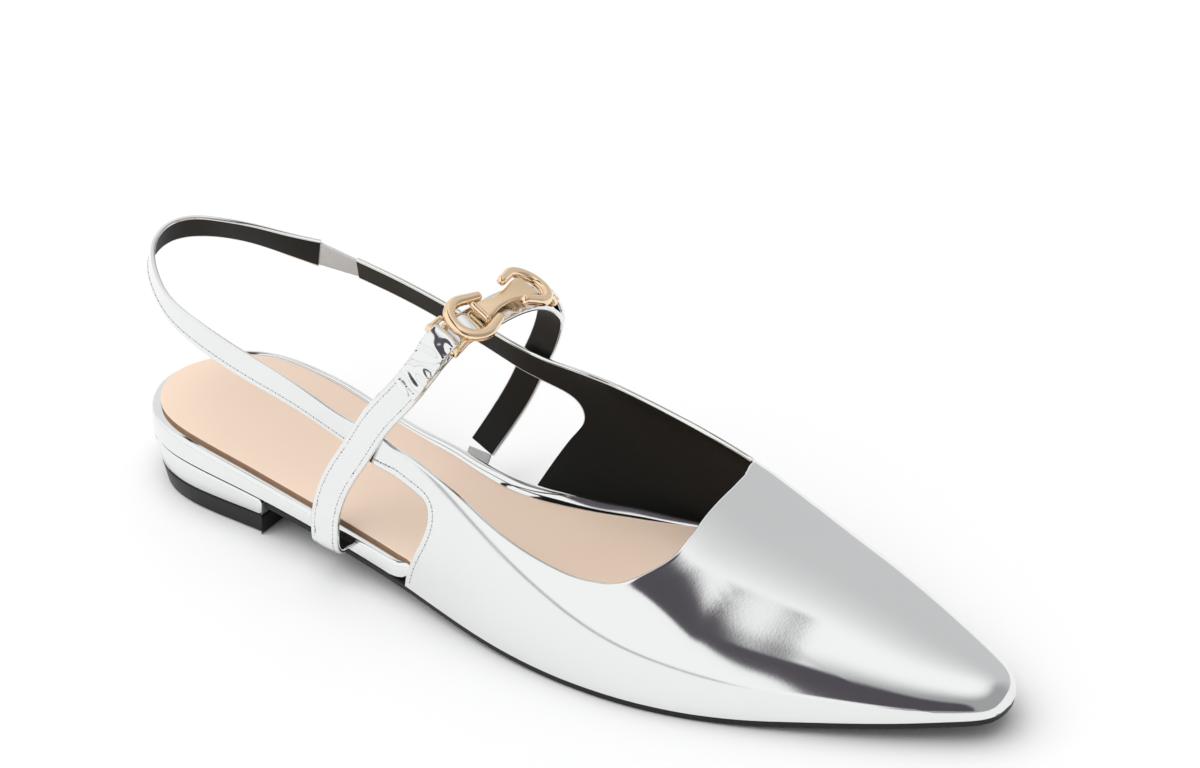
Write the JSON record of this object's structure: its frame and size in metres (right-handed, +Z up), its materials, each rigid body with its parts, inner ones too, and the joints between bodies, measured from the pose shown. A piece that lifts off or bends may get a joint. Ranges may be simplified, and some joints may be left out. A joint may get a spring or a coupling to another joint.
{
  "type": "slingback strap sandal",
  "caption": "Pointed low-heeled slingback strap sandal with side cut-outs, an instep strap and a gold link ornament.",
  "frame": {"origin": "on the floor, at the middle of the footprint box of the standing shoe", "axes": "+X from heel to toe, +Y to the inner (medial) side of the foot, +Z up"},
  "size_m": [0.2654, 0.078, 0.084],
  "materials": {
    "rubber_black": "satin",
    "mirror_silver": "mirror-polished foil leather",
    "sock_lining": "matt",
    "elastic_grey": "woven",
    "gold": "polished"
  },
  "bodies": {
    "root": {"outsole": "rubber_black", "board": "mirror_silver", "footbed_sock": "sock_lining", "heel_block": "mirror_silver", "top_lift": "rubber_black", "upper": "mirror_silver", "instep_strap": "mirror_silver", "sling_elastic": "elastic_grey", "instep_elastic": "elastic_grey", "near_ring": "gold", "far_ring": "gold", "link_plate": "gold", "near_loop": "gold", "far_loop": "gold"}
  },
  "joints": []
}
